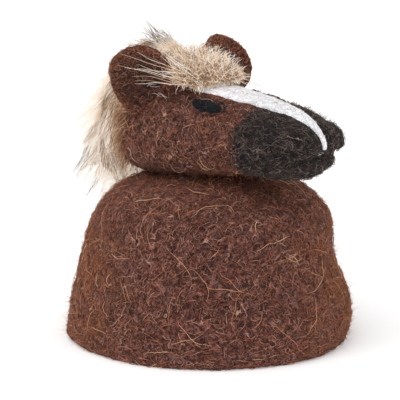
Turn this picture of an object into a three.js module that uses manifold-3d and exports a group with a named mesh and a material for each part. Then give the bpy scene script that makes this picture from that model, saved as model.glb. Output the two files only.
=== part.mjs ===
// Egg cosy in wool felt, shaped as a pony resting its head on a domed cap.
//
// The cap is a hollow felted dome that slips over an egg in its cup and stands on its hem. The
// head is a firm needle-felted form that sits on top of the dome, with a muzzle of darker wool, a
// white blaze needled down the face, two black eyes and two cupped ears. Long fur makes the mane
// behind the ears and down the nape, and a short tuft of it makes the forelock.
//
// Millimetres, +Z up. The origin is the centre of the cap's open mouth, on the plane of its hem.
// The pony looks along -Y, so its left side is +X. Places on the head are given as "ahead", how
// far in front of the cap's axis they are, and so towards -Y.

import * as THREE from "three";
import { ParametricGeometry } from "three/addons/geometries/ParametricGeometry.js";
import { mergeVertices } from "three/addons/utils/BufferGeometryUtils.js";
import Module from "manifold-3d";

const wasm = await Module();
wasm.setup();

// ---------------------------------------------------------------- driving dimensions

const GAP = 0.3; // between pieces that touch
const WALL = 4; // thickness of the cap's felt
const FULL_SIDE = -42; // plan angle of the side where the dome is fullest, in degrees
const SPLIT = 25.4; // how far ahead the brown wool meets the dark wool of the muzzle

// Outline of the cap from hem to crown: height, and radius on its slack side and on its full side.
const CAP_OUTLINE = [
  { z: 0.0, slack: 38.5, full: 38.6 },
  { z: 1.3, slack: 40.0, full: 40.1 },
  { z: 5.0, slack: 39.1, full: 40.8 },
  { z: 9.5, slack: 38.6, full: 41.1 },
  { z: 14.0, slack: 37.7, full: 39.8 },
  { z: 19.5, slack: 36.3, full: 37.0 },
  { z: 26.5, slack: 34.8, full: 35.1 },
  { z: 32.0, slack: 33.6, full: 35.4 },
  { z: 37.0, slack: 31.2, full: 33.4 },
  { z: 41.5, slack: 27.6, full: 29.2 },
  { z: 45.2, slack: 21.5, full: 22.0 },
  { z: 47.4, slack: 11.0, full: 11.0 },
  { z: 48.0, slack: 0.0, full: 0.0 },
];

// Slow waves round the cap, where the felt shrank unevenly: how many, how deep, at what phase in
// radians, and how far each winds round for a millimetre of height.
const CAP_WAVES = [
  { count: 3, depth: 0.45, phase: 0.9, wind: 0.02 },
  { count: 5, depth: 0.3, phase: 2.4, wind: -0.05 },
];

// Sections of the head from nape to nose: how far ahead, half width, and height of crown and jaw.
const HEAD_SECTIONS = [
  { ahead: -27.5, half: 0.0, top: 59.0, jaw: 59.0 },
  { ahead: -26.8, half: 6.0, top: 65.0, jaw: 53.5 },
  { ahead: -24.5, half: 11.5, top: 68.6, jaw: 49.5 },
  { ahead: -19.5, half: 17.0, top: 71.6, jaw: 46.8 },
  { ahead: -13.0, half: 20.0, top: 72.6, jaw: 46.0 },
  { ahead: -5.0, half: 20.4, top: 72.4, jaw: 46.4 },
  { ahead: 3.0, half: 19.2, top: 71.8, jaw: 47.2 },
  { ahead: 11.0, half: 17.4, top: 71.2, jaw: 48.4 },
  { ahead: 19.0, half: 15.8, top: 70.6, jaw: 49.6 },
  { ahead: 27.0, half: 14.6, top: 69.7, jaw: 50.2 },
  { ahead: 34.0, half: 13.2, top: 68.6, jaw: 50.5 },
  { ahead: 39.5, half: 11.2, top: 66.7, jaw: 51.6 },
  { ahead: 43.3, half: 8.0, top: 64.1, jaw: 54.2 },
  { ahead: 45.4, half: 4.6, top: 62.0, jaw: 57.2 },
  { ahead: 46.0, half: 0.0, top: 60.0, jaw: 60.0 },
];
const WIDEST = 0.46; // where a section is widest, of the way from jaw to crown
const BROW_SQUARENESS = 2.2; // how boxy a section is above that, where 2 is an ellipse
const JAW_SQUARENESS = 2.7;

// Swellings of the muzzle and the slit of the mouth, as ellipsoids: middle and half sizes.
const NOSTRIL = { side: 4.7, ahead: 39.8, height: 60.6, half: [6.2, 6.7, 5.6] };
const LOWER_LIP = { side: 0, ahead: 36.6, height: 55.0, half: [8.2, 7.2, 4.5] };
const MOUTH = { side: 0, ahead: 48.0, height: 57.8, half: [10, 4.4, 1.1] };

// The blaze seen from above, from forehead to nose: how far ahead, and how far it reaches to the
// pony's right and left, because it was needled a little off the middle.
const BLAZE_OUTLINE = [
  { ahead: 2, right: 6.4, left: 6.4 },
  { ahead: 12, right: 6.1, left: 5.4 },
  { ahead: 22, right: 5.6, left: 4.0 },
  { ahead: 32, right: 4.2, left: 2.6 },
  { ahead: 39, right: 2.6, left: 1.6 },
  { ahead: 43.5, right: 1.2, left: 1.0 },
  { ahead: 45.6, right: 0.7, left: 0.6 },
  { ahead: 46.5, right: 0.5, left: 0.5 },
  { ahead: 48, right: 0.4, left: 0.4 },
];
const BLAZE = { proud: 0.4, deep: 0.9, lowest: 59.6 };

// An eye's half sizes, its droop towards the nose and its lean with the cheek, and where each is.
const EYE = { ahead: 11.2, half: [1.5, 6.2, 2.0], droop: 4, lean: 60 };
const EYES = {
  right: { side: -11.3, height: 68.1 },
  left: { side: 12.5, height: 67.2 },
};

// Each ear is a cupped round of felt. facing is how far it looks outwards, roll how far its tip
// leans outwards and rake how far it leans back, all in degrees.
const EAR_SHAPE = { half: 9.0, rise: 9.2, thickness: 3.6, cup: 4.6 };
const EARS = {
  right: { side: -16.8, ahead: -11.0, height: 74.0, facing: -22, roll: 24, rake: 8 },
  left: { side: 14.6, ahead: -12.4, height: 74.2, facing: -8, roll: -24, rake: 6 },
};

// Fur, as the outer form of its pile: oval sections, each with its middle, half width across,
// half depth, and how far its depth leans from upright towards the back, in degrees.
const MANE_SECTIONS = [
  { ahead: -10, height: 78.0, half: 0.0, depth: 0.0, lean: 0 },
  { ahead: -11.5, height: 78.0, half: 5.5, depth: 4.0, lean: 0 },
  { ahead: -17, height: 77.5, half: 9.0, depth: 7.0, lean: 10 },
  { ahead: -25, height: 75.5, half: 11.5, depth: 9.5, lean: 38 },
  { ahead: -30.5, height: 68.0, half: 13.0, depth: 10.5, lean: 68 },
  { ahead: -33, height: 58.5, half: 13.5, depth: 10.5, lean: 85 },
  { ahead: -35.5, height: 49.5, half: 12.5, depth: 8.5, lean: 95 },
  { ahead: -38, height: 41.5, half: 9.0, depth: 5.5, lean: 100 },
  { ahead: -39, height: 37.0, half: 0.0, depth: 0.0, lean: 100 },
];
const FORELOCK_SECTIONS = [
  { ahead: -10.0, height: 76.2, half: 0.0, depth: 0.0, lean: 0 },
  { ahead: -9.5, height: 76.2, half: 6.5, depth: 3.2, lean: 0 },
  { ahead: -6.0, height: 75.6, half: 11.0, depth: 5.2, lean: 0 },
  { ahead: 0.0, height: 74.6, half: 12.0, depth: 5.6, lean: 0 },
  { ahead: 5.5, height: 73.2, half: 9.5, depth: 4.4, lean: 0 },
  { ahead: 9.5, height: 71.8, half: 0.0, depth: 0.0, lean: 0 },
];

// ---------------------------------------------------------------- solids from surfaces

const radians = THREE.MathUtils.degToRad;
const signedPower = (value, power) => Math.sign(value) * Math.abs(value) ** power;

// A closed three.js geometry as a manifold-3d solid: shared vertices merged, flat slivers dropped.
function solidOf(geometry) {
  const bare = geometry.clone();
  bare.deleteAttribute("normal");
  bare.deleteAttribute("uv");
  const merged = mergeVertices(bare, 1e-3);
  const corners = [];
  for (let i = 0; i < merged.index.count; i += 3) {
    const [a, b, c] = [0, 1, 2].map((k) => merged.index.getX(i + k));
    if (a !== b && b !== c && c !== a) corners.push(a, b, c);
  }
  return new wasm.Manifold(
    new wasm.Mesh({
      numProp: 3,
      vertProperties: merged.attributes.position.array,
      triVerts: new Uint32Array(corners),
    }),
  );
}

// A solid back as a three.js geometry.
function geometryOf(solid) {
  const mesh = solid.getMesh();
  const geometry = new THREE.BufferGeometry();
  geometry.setAttribute("position", new THREE.BufferAttribute(mesh.vertProperties, 3));
  geometry.setIndex(new THREE.BufferAttribute(mesh.triVerts, 1));
  geometry.computeVertexNormals();
  return geometry;
}

// A closed surface from place(turn, step): turn goes once round and step runs from pole to pole,
// both from 0 to 1, with around and along faces. Faces that point inwards are turned round.
function wrap(place, around, along) {
  const surface = new ParametricGeometry((turn, step, at) => at.copy(place(turn % 1, step)), around, along);
  const solid = solidOf(surface);
  if (solid.volume() > 0) return solid;
  surface.setIndex(Array.from(surface.index.array).reverse());
  return solidOf(surface);
}

// A smooth reading of a table's columns at a share of its length, from 0 to 1.
function reader(rows) {
  const columns = Object.keys(rows[0]);
  return (share) => {
    const at = share * (rows.length - 1);
    const i = Math.min(Math.floor(at), rows.length - 2);
    const near = [i - 1, i, i + 1, i + 2].map((k) => rows[THREE.MathUtils.clamp(k, 0, rows.length - 1)]);
    const t = at - i;
    return Object.fromEntries(
      columns.map((column) => {
        const [a, b, c, d] = near.map((row) => row[column]);
        const bend = (2 * a - 5 * b + 4 * c - d) * t * t + (3 * b - a - 3 * c + d) * t ** 3;
        return [column, b + ((c - a) * t + bend) / 2];
      }),
    );
  };
}

// An ellipsoid at {side, ahead, height}, grown all round.
function ellipsoid({ side, ahead, height, half }, grow = 0) {
  const ball = new THREE.SphereGeometry(1, 16, 10);
  ball.scale(...half.map((size) => size + grow));
  ball.translate(side, -ahead, height);
  return solidOf(ball);
}

// ---------------------------------------------------------------- the cap

// Outlines of the cap's outside from crown to hem, on its slack and its full side, moved out.
function capOutlines(out) {
  const steps = 14;
  const read = reader(CAP_OUTLINE);
  const rows = Array.from({ length: steps + 1 }, (_, i) => read(1 - i / steps));
  return ["slack", "full"].map((side) => {
    const points = rows.map((row) => new THREE.Vector2(row[side], row.z));
    return points.map((point, i) => {
      if (i === 0) return new THREE.Vector2(0, point.y + out);
      const along = points[Math.min(i + 1, steps)].clone().sub(points[i - 1]).normalize();
      return point.clone().add(new THREE.Vector2(-along.y, along.x).multiplyScalar(out));
    });
  });
}

// A closed form round the cap's axis, blended between an outline on each side, with its waves.
function capForm([slack, full]) {
  const last = slack.length - 1;
  return wrap(
    (turn, step) => {
      const i = Math.round(step * last);
      const angle = turn * 2 * Math.PI;
      const fullness = (1 + Math.cos(angle - radians(FULL_SIDE))) / 2;
      const point = slack[i].clone().lerp(full[i], fullness);
      const wave = CAP_WAVES.reduce(
        (sum, { count, depth, phase, wind }) => sum + depth * Math.sin(count * angle + phase + wind * point.y),
        0,
      );
      const radius = point.x + wave * Math.min(1, point.x / 20);
      return new THREE.Vector3(radius * Math.cos(angle), radius * Math.sin(angle), point.y);
    },
    36,
    last,
  );
}

// The hollow cap: down the outside, across the flat hem and up the inside.
function capSolid() {
  const outside = capOutlines(0);
  const inside = capOutlines(-WALL);
  return capForm(
    outside.map((outer, k) => {
      const inner = inside[k].reverse();
      inner[0].y = 0;
      return [...outer, ...inner];
    }),
  );
}

// The room the cap takes up with its inside filled, to cut what rests on it.
function capRoom() {
  const foot = new THREE.Vector2(0, 0);
  return capForm(capOutlines(GAP).map((outline) => [...outline, foot]));
}

// ---------------------------------------------------------------- the head

// The head from nape to nose as one form, without its lips and nostrils.
function headForm(grow) {
  const read = reader(HEAD_SECTIONS);
  return wrap(
    (turn, step) => {
      const { ahead, half, top, jaw } = read(step);
      const angle = turn * 2 * Math.PI;
      const widest = jaw + (top - jaw) * WIDEST;
      if (step === 0) return new THREE.Vector3(0, -ahead + grow, widest);
      if (step === 1) return new THREE.Vector3(0, -ahead - grow, widest);
      const upper = Math.sin(angle) >= 0;
      const power = 2 / (upper ? BROW_SQUARENESS : JAW_SQUARENESS);
      const reach = grow + (upper ? top - widest : widest - jaw);
      return new THREE.Vector3(
        (half + grow) * signedPower(Math.cos(angle), power),
        -ahead,
        widest + reach * signedPower(Math.sin(angle), power),
      );
    },
    28,
    25,
  );
}

// The whole head with nostrils and lower lip, grown all round.
function fullHead(grow = 0) {
  return [-1, 1]
    .map((hand) => ellipsoid({ ...NOSTRIL, side: hand * NOSTRIL.side }, grow))
    .reduce((solid, nostril) => solid.add(nostril), headForm(grow))
    .add(ellipsoid(LOWER_LIP, grow));
}

// A block that holds all that lies between two stations along the head.
function block(from, to) {
  const box = new THREE.BoxGeometry(100, to - from, 100);
  box.translate(0, -(from + to) / 2, 50);
  return solidOf(box);
}

// An eye, its long side along the cheek, grown all round.
function eyeSolid({ side, height }, grow) {
  const ball = new THREE.SphereGeometry(1, 14, 8);
  ball.scale(...EYE.half.map((size) => size + grow));
  ball.rotateX(radians(EYE.droop));
  ball.rotateY(radians(-Math.sign(side) * EYE.lean));
  ball.translate(side, -EYE.ahead, height);
  return solidOf(ball);
}

// The blaze's outline as an upright block, widened on both sides, from a height up.
function blazeBlock(widen, lowest) {
  const right = BLAZE_OUTLINE.map(({ ahead, right }) => new THREE.Vector2(-right - widen, -ahead));
  const left = BLAZE_OUTLINE.map(({ ahead, left }) => new THREE.Vector2(left + widen, -ahead));
  const start = new THREE.Vector2(0, -BLAZE_OUTLINE[0].ahead + widen);
  const outline = new THREE.Shape([start, ...left, ...right.reverse()]);
  const upright = new THREE.ExtrudeGeometry(outline, { depth: 40, bevelEnabled: false });
  upright.translate(0, 0, lowest);
  return solidOf(upright);
}

// The head moved up and towards its nose, or down and back, to give the blaze its thickness.
function headMoved(head, distance) {
  return solidOf(geometryOf(head).translate(0, -distance, distance));
}

// ---------------------------------------------------------------- ears and fur

// A cupped round of felt facing +Z in its own frame with its top along +Y, then set on the head.
function earSolid({ side, ahead, height, facing, roll, rake }) {
  const { half, rise, thickness, cup } = EAR_SHAPE;
  const form = wrap(
    (turn, step) => {
      const angle = turn * 2 * Math.PI;
      const out = Math.sin(step * Math.PI);
      const thin = (thickness / 2) * signedPower(Math.cos(step * Math.PI), 0.6);
      return new THREE.Vector3(
        half * out * signedPower(Math.cos(angle), 0.85),
        rise * out * signedPower(Math.sin(angle), 0.95),
        cup * (out * Math.cos(angle)) ** 2 + thin,
      );
    },
    22,
    12,
  );
  const ear = geometryOf(form);
  ear.rotateZ(radians(roll));
  ear.rotateX(radians(90 - rake));
  ear.rotateZ(radians(facing));
  ear.translate(side, -ahead, height);
  return solidOf(ear).subtract(headForm(GAP));
}

// A bundle of fur along its table of sections, grown all round.
function furForm(sections, grow, around, along) {
  const read = reader(sections);
  return wrap(
    (turn, step) => {
      const { ahead, height, half, depth, lean } = read(step);
      const angle = turn * 2 * Math.PI;
      const pole = step === 0 || step === 1;
      const across = pole ? 0 : (half + grow) * Math.cos(angle);
      const deep = pole ? 0 : (depth + grow) * Math.sin(angle);
      return new THREE.Vector3(
        across,
        -ahead + deep * Math.sin(radians(lean)),
        height + deep * Math.cos(radians(lean)),
      );
    },
    around,
    along,
  );
}

// ---------------------------------------------------------------- assembly

const felt = (color) => new THREE.MeshStandardMaterial({ color, roughness: 0.95, metalness: 0 });
const MATERIALS = {
  brown: felt(0x66433a),
  dark: felt(0x362e2e),
  white: felt(0xecebeb),
  black: felt(0x1c1b1f),
  fur: felt(0xc1a891),
};

const cosy = new THREE.Group();

function addPiece(name, solid, material) {
  const mesh = new THREE.Mesh(geometryOf(solid), material);
  mesh.name = name;
  cosy.add(mesh);
}

const cutAway = (solid, cutters) => cutters.reduce((left, cutter) => left.subtract(cutter), solid);

const onCap = capRoom();
const head = fullHead();
const deep = headMoved(head, -BLAZE.deep);
const blazeBed = cutAway(blazeBlock(GAP, BLAZE.lowest - GAP), [headMoved(deep, -GAP)]);
const blaze = headMoved(head, BLAZE.proud).intersect(blazeBlock(0, BLAZE.lowest)).subtract(deep);
const sockets = Object.values(EYES).map((eye) => eyeSolid(eye, GAP));
const brownPart = head.intersect(block(-60, SPLIT));
const darkPart = head.intersect(block(SPLIT + GAP, 60));

addPiece("cap", capSolid(), MATERIALS.brown);
addPiece("head", cutAway(brownPart, [onCap, blazeBed, ...sockets]), MATERIALS.brown);
addPiece("muzzle", cutAway(darkPart, [onCap, blazeBed, ellipsoid(MOUTH)]), MATERIALS.dark);
addPiece("blaze", blaze, MATERIALS.white);
for (const [side, eye] of Object.entries(EYES)) addPiece("eye_" + side, eyeSolid(eye, 0), MATERIALS.black);

const ears = Object.entries(EARS).map(([side, ear]) => [side, earSolid(ear)]);
for (const [side, ear] of ears) addPiece("ear_" + side, ear, MATERIALS.brown);

const taken = [onCap, headForm(GAP + BLAZE.proud), ...ears.map(([, ear]) => ear)];
const forelock = furForm(FORELOCK_SECTIONS, 0, 18, 10);
const forelockRoom = furForm(FORELOCK_SECTIONS, GAP, 18, 10);
const mane = furForm(MANE_SECTIONS, 0, 22, 16);
addPiece("forelock", cutAway(forelock, taken), MATERIALS.fur);
addPiece("mane", cutAway(mane, [...taken, forelockRoom]), MATERIALS.fur);

export default cosy;
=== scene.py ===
# %% [markdown]
# # An egg cosy made of felted wool
#
# This lesson builds the looks of a small egg cosy: a hollow dome of felted wool with a
# needle-felted pony's head on top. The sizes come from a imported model, the frame, which is loaded
# first. Each plain solid of the frame is then replaced by a finished piece: felt with a lumpy
# surface and loose fibres, and fur that is made of single hairs.

# %% The frame
from math import cos, exp, hypot, pi, radians, sin, sqrt

import bmesh
import bpy
from mathutils import Matrix, Vector
from mathutils.bvhtree import BVHTree


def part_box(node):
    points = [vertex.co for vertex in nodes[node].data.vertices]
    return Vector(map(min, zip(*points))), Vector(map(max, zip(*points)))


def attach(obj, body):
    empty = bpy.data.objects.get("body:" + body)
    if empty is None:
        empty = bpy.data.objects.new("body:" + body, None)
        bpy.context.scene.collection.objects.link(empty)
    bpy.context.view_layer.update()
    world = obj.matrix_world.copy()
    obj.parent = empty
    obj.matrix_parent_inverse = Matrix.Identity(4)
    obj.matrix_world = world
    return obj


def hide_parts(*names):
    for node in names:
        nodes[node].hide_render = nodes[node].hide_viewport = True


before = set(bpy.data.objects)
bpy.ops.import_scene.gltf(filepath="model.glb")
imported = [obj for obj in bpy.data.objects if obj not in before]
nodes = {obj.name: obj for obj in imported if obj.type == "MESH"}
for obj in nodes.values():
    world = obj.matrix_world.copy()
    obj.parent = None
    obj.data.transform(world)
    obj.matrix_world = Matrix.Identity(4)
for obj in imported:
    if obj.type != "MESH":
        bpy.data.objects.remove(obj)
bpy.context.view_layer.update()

MM = 0.001
print("pieces of the frame:", ", ".join(sorted(nodes)))

# %% [markdown]
# ## Arithmetic on node sockets
#
# Materials and Geometry Nodes are both trees of nodes. A long sum is hard to read as nodes, so
# this small class wraps an output socket: adding or multiplying two of them adds a Math node, or
# a Vector Math node where one of them is a vector. Every other node comes from `make`, which sets
# the node's options first and its input sockets after that.

# %% Sockets that can be added and multiplied
class Wire:
    """An output socket of a node tree, used in sums as if it were a number or a vector."""

    def __init__(self, socket):
        self.socket = socket
        self.tree = socket.id_data

    def make(self, kind, settings=(), inputs=(), output=0):
        return make(self.tree, kind, settings, inputs, output)

    def out(self, name):
        """Another output of the same node."""
        return Wire(self.socket.node.outputs[name])

    def math(self, operation, *terms, output=0):
        vector = any(is_vector(term) for term in terms)
        kind = "ShaderNodeVectorMath" if vector else "ShaderNodeMath"
        return self.make(kind, {"operation": operation}, dict(enumerate(terms)), output)

    def times(self, first, second):
        if is_vector(first) == is_vector(second):
            return self.math("MULTIPLY", first, second)
        vector, factor = (first, second) if is_vector(first) else (second, first)
        inputs = {0: vector, "Scale": factor}
        return self.make("ShaderNodeVectorMath", {"operation": "SCALE"}, inputs)

    def __add__(self, other):
        return self.math("ADD", self, other)

    def __radd__(self, other):
        return self.math("ADD", other, self)

    def __sub__(self, other):
        return self.math("SUBTRACT", self, other)

    def __rsub__(self, other):
        return self.math("SUBTRACT", other, self)

    def __mul__(self, other):
        return self.times(self, other)

    def __rmul__(self, other):
        return self.times(other, self)

    def __truediv__(self, other):
        return self.math("DIVIDE", self, other)

    def __rtruediv__(self, other):
        return self.math("DIVIDE", other, self)

    def __pow__(self, power):
        return self.math("POWER", self, power)

    def __abs__(self):
        return self.math("ABSOLUTE", self)

    def sine(self):
        return self.math("SINE", self)

    def cosine(self):
        return self.math("COSINE", self)

    def most(self, other):
        return self.math("MAXIMUM", self, other)

    def least(self, other):
        return self.math("MINIMUM", self, other)

    def cross(self, other):
        return self.math("CROSS_PRODUCT", self, other)

    def unit(self):
        return self.math("NORMALIZE", self)

    def dot(self, other):
        return self.math("DOT_PRODUCT", self, other, output="Value")

    def length(self):
        return self.math("LENGTH", self, output="Value")

    def axis(self, name):
        """The X, Y or Z of a vector."""
        return self.make("ShaderNodeSeparateXYZ", (), {0: self}, name)

    def step(self, low, high):
        """Rises softly from 0 at low to 1 at high; where low is the higher one it falls."""
        ends = {1: low, 2: high} if low < high else {1: high, 2: low, 3: 1.0, 4: 0.0}
        settings = {"interpolation_type": "SMOOTHSTEP"}
        return self.make("ShaderNodeMapRange", settings, {0: self, **ends})

# %% Adding a node to a tree
def is_vector(term):
    if isinstance(term, Wire):
        return term.socket.type in ("VECTOR", "RGBA")
    return isinstance(term, (tuple, Vector))


def make(tree, kind, settings=(), inputs=(), output=0):
    """Adds a node to a tree and gives one of its outputs."""
    node = tree.nodes.new(kind)
    for name, value in dict(settings).items():
        if name == "stops":
            fill_ramp(node.color_ramp, value)
        else:
            setattr(node, name, value)
    for name, value in dict(inputs).items():
        socket = node.inputs[name]
        if isinstance(value, Wire):
            tree.links.new(value.socket, socket)
        elif socket.type == "RGBA" and len(value) == 3:
            socket.default_value = (*value, 1.0)
        elif socket.type == "VECTOR" and isinstance(value, (int, float)):
            socket.default_value = (value, value, value)
        else:
            socket.default_value = value
    return Wire(node.outputs[output])


def fill_ramp(ramp, stops):
    while len(ramp.elements) < len(stops):
        ramp.elements.new(0.5)
    for element, (position, colour) in zip(ramp.elements, stops):
        element.position = position
        element.color = (*colour, 1.0)

# %% Noise, and colours as nodes need them
def noise(place, size, detail=0.0, output="Fac"):
    """Soft noise from 0 to 1 with lumps of a size, in the units of place."""
    inputs = {"Vector": place, "Scale": 1 / size, "Detail": detail}
    return place.make("ShaderNodeTexNoise", (), inputs, output)


def rgb(red, green, blue):
    """A screen colour, each channel from 0 to 255, as the linear values that nodes work in."""
    channels = [value / 255 for value in (red, green, blue)]
    return tuple(c / 12.92 if c < 0.04045 else ((c + 0.055) / 1.055) ** 2.4 for c in channels)

# %% [markdown]
# ## Camera, floor and light
#
# The camera looks at the cosy from its right front and a little from above, through a long lens,
# so that the hem is a flat oval. The floor and the room are white, as in a studio, and two very
# soft suns model the form: a wide sun throws the soft shadow of an overcast sky.

# %% Camera
AZIMUTH, ELEVATION = -42, 11.5  # 0, 0 looks at the pony's nose, level with the floor
DISTANCE = 0.7
SEEN_WIDTH = 112.7 * MM
AIM_RIGHT, AIM_UP = -2.5 * MM, 39.0 * MM


def direction_to(azimuth, elevation):
    """The direction from the cosy towards a viewer or a lamp."""
    a, e = radians(azimuth), radians(elevation)
    return Vector((sin(a) * cos(e), -cos(a) * cos(e), sin(e)))


def linked(piece):
    bpy.context.collection.objects.link(piece)
    return piece


scene = bpy.context.scene
to_camera = direction_to(AZIMUTH, ELEVATION)
sideways = Vector((cos(radians(AZIMUTH)), sin(radians(AZIMUTH)), 0))
aim = sideways * AIM_RIGHT + Vector((0, 0, AIM_UP))
camera = linked(bpy.data.objects.new("camera", bpy.data.cameras.new("camera")))
camera.location = aim + to_camera * DISTANCE
camera.rotation_euler = to_camera.to_track_quat("Z", "Y").to_euler()
camera.data.lens = camera.data.sensor_width * DISTANCE / SEEN_WIDTH
camera.data.clip_start = 0.01
scene.camera = camera
scene.view_settings.view_transform = "Standard"
print(f"a {camera.data.lens:.0f} mm lens, {DISTANCE} m away")

# %% Floor, room and suns
FLOOR_REACH = 3.0
FLOOR_GLOW = 0.2
WHITE = (1, 1, 1, 1)
ROOM_LIGHT = 0.68

corners = [(x * FLOOR_REACH, y * FLOOR_REACH, 0) for x, y in ((-1, -1), (1, -1), (1, 1), (-1, 1))]
floor_mesh = bpy.data.meshes.new("floor")
floor_mesh.from_pydata(corners, [], [range(4)])
floor = linked(bpy.data.objects.new("floor", floor_mesh))
floor_paint = bpy.data.materials.new("white_sweep")
floor_paint.use_nodes = True
floor_shader = floor_paint.node_tree.nodes["Principled BSDF"]
floor_shader.inputs["Base Color"].default_value = (0.98, 0.98, 0.98, 1)
floor_shader.inputs["Roughness"].default_value = 0.9
floor_shader.inputs["Emission Color"].default_value = WHITE
floor_shader.inputs["Emission Strength"].default_value = FLOOR_GLOW
floor_mesh.materials.append(floor_paint)

room = bpy.data.worlds.new("white_room")
room.use_nodes = True
room.node_tree.nodes["Background"].inputs["Color"].default_value = WHITE
room.node_tree.nodes["Background"].inputs["Strength"].default_value = ROOM_LIGHT
scene.world = room


def sun(name, azimuth, elevation, strength, width):
    """A sun of a strength in watts for a square metre, and as wide as an angle in degrees."""
    lamp = bpy.data.lights.new(name, "SUN")
    lamp.energy = strength
    lamp.angle = radians(width)
    light = linked(bpy.data.objects.new(name, lamp))
    light.rotation_euler = direction_to(azimuth, elevation).to_track_quat("Z", "Y").to_euler()


sun("key_sun", azimuth=-80, elevation=52, strength=1.15, width=50)
sun("fill_sun", azimuth=10, elevation=35, strength=0.35, width=70)
print(f"{len(bpy.data.lights)} suns over a floor {2 * FLOOR_REACH:.0f} m wide")

# %% [markdown]
# ## Felt bodies
#
# Felt is matted wool: soft, a little lumpy, with no edges and no weave. The frame's solids are
# made of flat facets, so each is remeshed on an even grid of voxels, melted with a Smooth modifier
# and then pushed in and out by noise. The lumps are a rule that covers the whole surface, so a
# Geometry Nodes tree makes them, with the sizes of the lumps as its named inputs.

# %% Copies of the frame's solids, melted into soft forms
def plain_mesh(piece):
    """Turns a piece with live modifiers into a plain mesh."""
    view = bpy.context.evaluated_depsgraph_get()
    mesh = bpy.data.meshes.new_from_object(piece.evaluated_get(view))
    piece.modifiers.clear()
    piece.data = mesh
    mesh.name = piece.name
    return piece


def merged_copy(name, swells):
    """One object with copies of some solids of the frame, each swollen by some millimetres."""
    body = bmesh.new()
    for node_name, swell in swells.items():
        solid = bmesh.new()
        solid.from_mesh(nodes[node_name].data)
        bmesh.ops.remove_doubles(solid, verts=solid.verts, dist=0.001 * MM)
        bmesh.ops.recalc_face_normals(solid, faces=solid.faces)
        solid.normal_update()
        for vertex in solid.verts:
            vertex.co += vertex.normal * swell * MM
        copy = bpy.data.meshes.new(node_name)
        solid.to_mesh(copy)
        solid.free()
        body.from_mesh(copy)
        bpy.data.meshes.remove(copy)
    mesh = bpy.data.meshes.new(name)
    body.to_mesh(mesh)
    body.free()
    return linked(bpy.data.objects.new(name, mesh))

# %% A solid melted into felt
def add_wads(mesh, places, radius):
    """Adds small balls to a mesh, which a remesh then melts into it."""
    body = bmesh.new()
    body.from_mesh(mesh)
    for place in places:
        at_place = Matrix.Translation(place)
        bmesh.ops.create_icosphere(body, subdivisions=1, radius=radius, matrix=at_place)
    body.to_mesh(mesh)
    body.free()


def melted(name, swells, voxel, rounds, wads=(), wad_size=1.0):
    """Solids of the frame, with balls of wool added at wads, as one even, soft mesh."""
    piece = merged_copy(name, swells)
    if wads:
        add_wads(piece.data, wads, wad_size * MM)
    remesh = piece.modifiers.new("voxels", "REMESH")
    remesh.mode = "VOXEL"
    remesh.voxel_size = voxel * MM
    remesh.use_smooth_shade = True
    smooth = piece.modifiers.new("melt", "SMOOTH")
    smooth.iterations = rounds
    plain_mesh(piece)
    print(f"{name}: {len(piece.data.polygons)} faces")
    return piece

# %% Trees of Geometry Nodes with named inputs
SOCKETS = {
    "number": "NodeSocketFloat",  # 0 unless it is set
    "share": "NodeSocketFloat",  # a number that is 1 unless it is set
    "whole": "NodeSocketInt",
    "material": "NodeSocketMaterial",
}


def modelling_tree(name, **kinds):
    """A new tree, the mesh that it is given, and its named inputs as wires."""
    tree = bpy.data.node_groups.new(name, "GeometryNodeTree")
    tree.interface.new_socket("Geometry", in_out="OUTPUT", socket_type="NodeSocketGeometry")
    tree.interface.new_socket("Geometry", in_out="INPUT", socket_type="NodeSocketGeometry")
    for label, kind in kinds.items():
        socket = tree.interface.new_socket(label, in_out="INPUT", socket_type=SOCKETS[kind])
        if kind == "share":
            socket.default_value = 1.0
    given = tree.nodes.new("NodeGroupInput").outputs
    return tree, Wire(given["Geometry"]), {label: Wire(given[label]) for label in kinds}


def end_tree(geometry, material):
    """The end that every tree has: instances made real, and the material set."""
    real = geometry.make("GeometryNodeRealizeInstances", (), {"Geometry": geometry})
    painted = real.make("GeometryNodeSetMaterial", (), {"Geometry": real, "Material": material})
    last = painted.tree.nodes.new("NodeGroupOutput")
    painted.tree.links.new(painted.socket, last.inputs[0])
    print(f"{painted.tree.name}: a tree of {len(painted.tree.nodes)} nodes")


def run_tree(piece, tree, **values):
    """Runs a tree on a piece and leaves a plain mesh; inputs are set by their identifiers."""
    modifier = piece.modifiers.new(tree.name, "NODES")
    modifier.node_group = tree
    for item in tree.interface.items_tree:
        if item.in_out == "INPUT" and item.name in values:
            modifier[item.identifier] = values[item.name]
    return plain_mesh(piece)


def grown_on(ground, name, tree, **values):
    """A new piece, which a tree grows from the mesh of another piece."""
    piece = linked(bpy.data.objects.new(name, ground.data.copy()))
    run_tree(piece, tree, **values)
    print(f"{name}: {sum(len(face.vertices) - 2 for face in piece.data.polygons)} triangles")
    return piece

# %% The tree that makes a surface lumpy
FLOOR_GAP = 0.05  # how far in millimetres wool stays above the floor


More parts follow.
